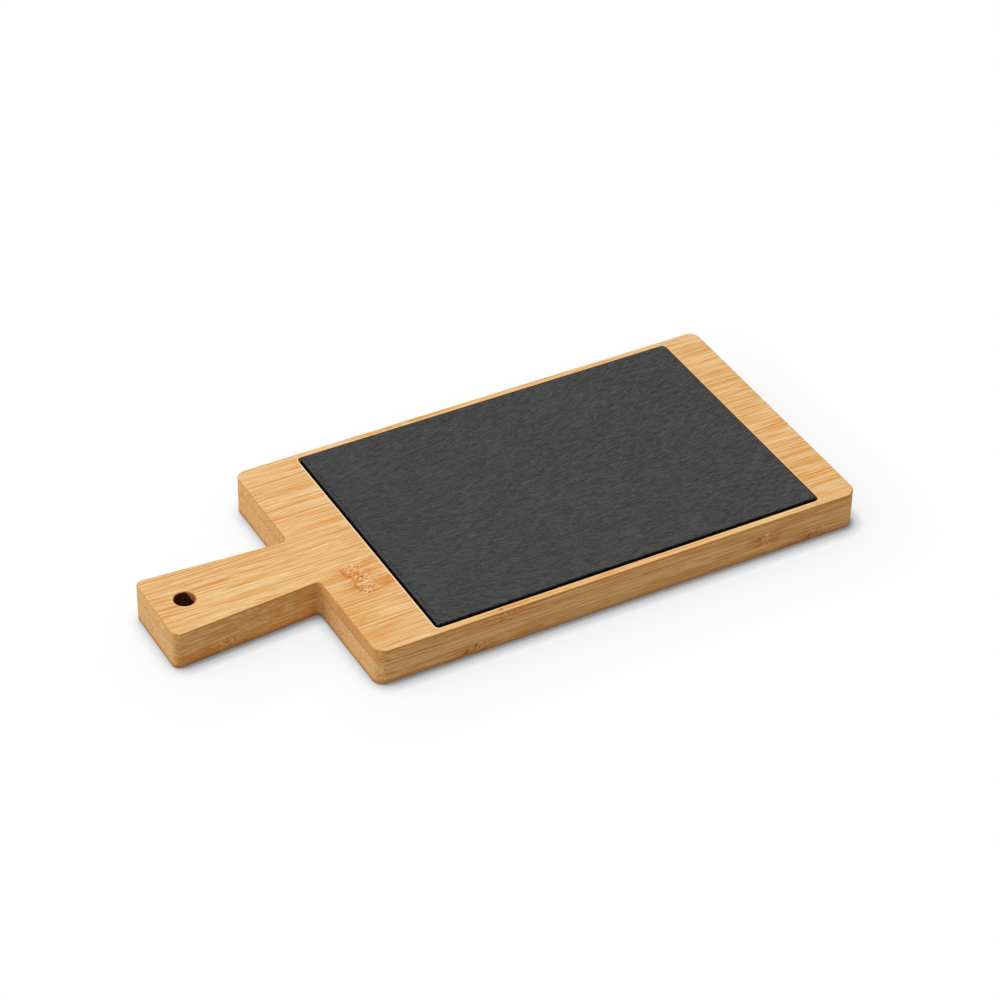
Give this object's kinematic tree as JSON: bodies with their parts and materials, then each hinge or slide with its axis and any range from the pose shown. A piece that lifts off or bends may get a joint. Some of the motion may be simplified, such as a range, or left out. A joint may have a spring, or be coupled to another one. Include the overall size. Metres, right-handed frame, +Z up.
{
  "type": "slate serving board",
  "caption": "Small paddle-shaped serving board: laminated bamboo with a flared handle, a hanging hole and a loose slate plate in a shallow recess.",
  "frame": {"origin": "on the resting plane, under the middle of the whole board's length and width, handle included", "axes": "+X along the board from the handle to the far end, +Y across it to the back, +Z up"},
  "size_m": [0.26, 0.117, 0.0166],
  "materials": {
    "slate": "matt natural cleft slate",
    "top_bamboo": "oiled bamboo, sanded",
    "core_bamboo": "oiled bamboo, sanded",
    "base_bamboo": "oiled bamboo, sanded"
  },
  "bodies": {
    "board": {"base_ply_strip_1": "base_bamboo", "base_ply_strip_2": "base_bamboo", "base_ply_strip_3": "base_bamboo", "base_ply_strip_4": "base_bamboo", "base_ply_strip_5": "base_bamboo", "base_ply_strip_6": "base_bamboo", "base_ply_strip_7": "base_bamboo", "core_ply_strip_1": "core_bamboo", "core_ply_strip_2": "core_bamboo", "core_ply_strip_3": "core_bamboo", "core_ply_strip_4": "core_bamboo", "core_ply_strip_5": "core_bamboo", "core_ply_strip_6": "core_bamboo", "core_ply_strip_7": "core_bamboo", "top_ply_strip_1": "top_bamboo", "top_ply_strip_2": "top_bamboo", "top_ply_strip_3": "top_bamboo", "top_ply_strip_4": "top_bamboo", "top_ply_strip_5": "top_bamboo", "top_ply_strip_6": "top_bamboo", "top_ply_strip_7": "top_bamboo"},
    "slate": {"slate_plate": "slate"}
  },
  "joints": [
    {"name": "slate_lift", "type": "slide", "parent": "board", "child": "slate", "axis": [0, 0, 1], "range_m": [0, 0.03]}
  ]
}
